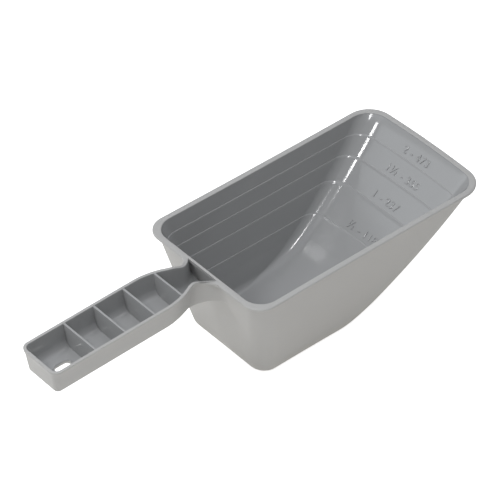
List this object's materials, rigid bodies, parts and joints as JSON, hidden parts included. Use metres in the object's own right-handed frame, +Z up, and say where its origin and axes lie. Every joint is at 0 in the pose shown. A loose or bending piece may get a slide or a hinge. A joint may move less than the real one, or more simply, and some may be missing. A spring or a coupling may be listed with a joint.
{
  "type": "feed scoop",
  "caption": "One-piece moulded plastic feed scoop: tapered bucket with a pouring slope and graduation ledges, and a hollow ribbed handle with a hang slot.",
  "frame": {"origin": "middle of the overall box in plan, at the level of the bucket floor's underside", "axes": "+X along the scoop from the handle's end towards the pouring edge, +Y to the left when held by the handle, +Z up"},
  "size_m": [0.289, 0.0994, 0.0739],
  "materials": {
    "grey_plastic": "satin to glossy mid-grey injection-moulded polypropylene"
  },
  "bodies": {
    "root": {"bucket_floor": "grey_plastic", "bucket_left_wall": "grey_plastic", "bucket_right_wall": "grey_plastic", "bucket_back_wall": "grey_plastic", "bucket_front_slope": "grey_plastic", "rim_flange": "grey_plastic", "graduation_1": "grey_plastic", "graduation_2": "grey_plastic", "graduation_3": "grey_plastic", "graduation_4": "grey_plastic", "figures_1": "grey_plastic", "figures_2": "grey_plastic", "figures_3": "grey_plastic", "figures_4": "grey_plastic", "neck_floor": "grey_plastic", "neck_left_wall": "grey_plastic", "neck_right_wall": "grey_plastic", "handle_floor": "grey_plastic", "handle_left_wall": "grey_plastic", "handle_right_wall": "grey_plastic", "handle_end_wall": "grey_plastic", "handle_rib_1": "grey_plastic", "handle_rib_2": "grey_plastic", "handle_rib_3": "grey_plastic", "handle_rib_4": "grey_plastic", "handle_bead": "grey_plastic", "hang_slot_rim": "grey_plastic"}
  },
  "joints": []
}
